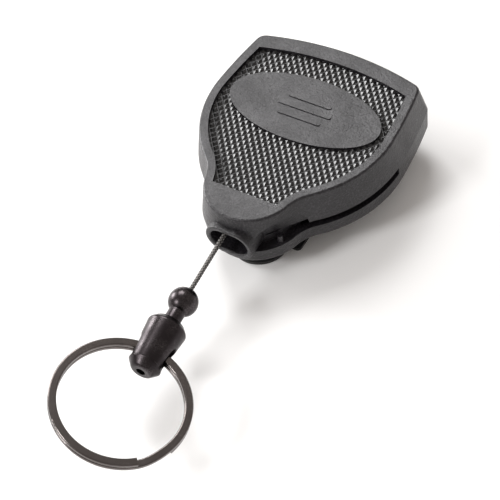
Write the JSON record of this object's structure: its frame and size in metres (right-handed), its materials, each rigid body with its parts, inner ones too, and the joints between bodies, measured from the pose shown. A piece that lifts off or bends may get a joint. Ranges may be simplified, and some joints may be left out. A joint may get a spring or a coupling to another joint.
{
  "type": "retractable badge reel",
  "caption": "Shield-shaped reel case with a textured front and a belt clip; a sprung cord ends in a ball, a swivel barrel and a split ring.",
  "frame": {"origin": "on the flat outer face of the belt clip, which the reel rests on, below the spool's axis", "axes": "+Y from the cord's end to the top of the case, +Z out of the front face, +X to the right seen from the front"},
  "size_m": [0.0458, 0.1106, 0.0189],
  "materials": {
    "case_plastic": "fine moulded grain, satin",
    "spool_plastic": "smooth",
    "cord_braid": "tight round braid",
    "swivel_metal": "black satin, rubbed",
    "ring_nickel": "black nickel, polished",
    "black_steel": "black oxide",
    "spring_steel": "rolled strip",
    "arbor_brass": "turned"
  },
  "bodies": {
    "case": {"front_shell": "case_plastic", "rear_shell": "case_plastic", "case_screws": "black_steel", "cord_guide": "case_plastic", "spool_arbor": "arbor_brass", "arbor_screw": "black_steel", "thrust_washer": "spool_plastic", "mainspring": "spring_steel", "cord_inner_run": "cord_braid", "clip_base": "black_steel", "clip_rivets": "black_steel"},
    "spool": {"spool_drum": "spool_plastic", "spool_cover": "spool_plastic", "cord_winding": "cord_braid", "cord_anchor_knot": "cord_braid"},
    "cord_end": {"cord_outer_run": "cord_braid", "ball_stop": "swivel_metal", "swivel_stem": "swivel_metal", "cord_crimp": "spring_steel"},
    "barrel": {"swivel_barrel": "swivel_metal", "barrel_end_cap": "swivel_metal", "swivel_washer": "spring_steel"},
    "ring": {"split_ring": "ring_nickel"},
    "clip": {"clip_tongue": "black_steel"}
  },
  "joints": [
    {"name": "cord_pull", "type": "slide", "parent": "case", "child": "cord_end", "axis": [0.068, -0.9977, 0], "range_m": [-0.013, 0.85], "deforming": ["cord_outer_run"]},
    {"name": "spool_spin", "type": "hinge", "parent": "case", "child": "spool", "pos_m": [0, 0, 0.012], "axis": [0, 0, 1], "range_deg": [-3250, 80], "deforming": ["mainspring"]},
    {"name": "swivel_spin", "type": "hinge", "parent": "cord_end", "child": "barrel", "pos_m": [-0.00019, -0.05257, 0.012], "axis": [-0.068, 0.9977, 0], "continuous": true},
    {"name": "ring_swing", "type": "hinge", "parent": "barrel", "child": "ring", "pos_m": [0.00033, -0.0601, 0.012], "axis": [0.9525, 0.0649, -0.2974], "range_deg": [-116, 104]},
    {"name": "clip_flex", "type": "hinge", "parent": "case", "child": "clip", "pos_m": [0, 0.01222, 0], "axis": [1, 0, 0], "range_deg": [0, 8], "stiffness_Nm_per_rad": 3}
  ],
  "couplings": [
    {"joint": "spool_spin", "follows": "cord_pull", "rad_per_m": -64.935}
  ]
}
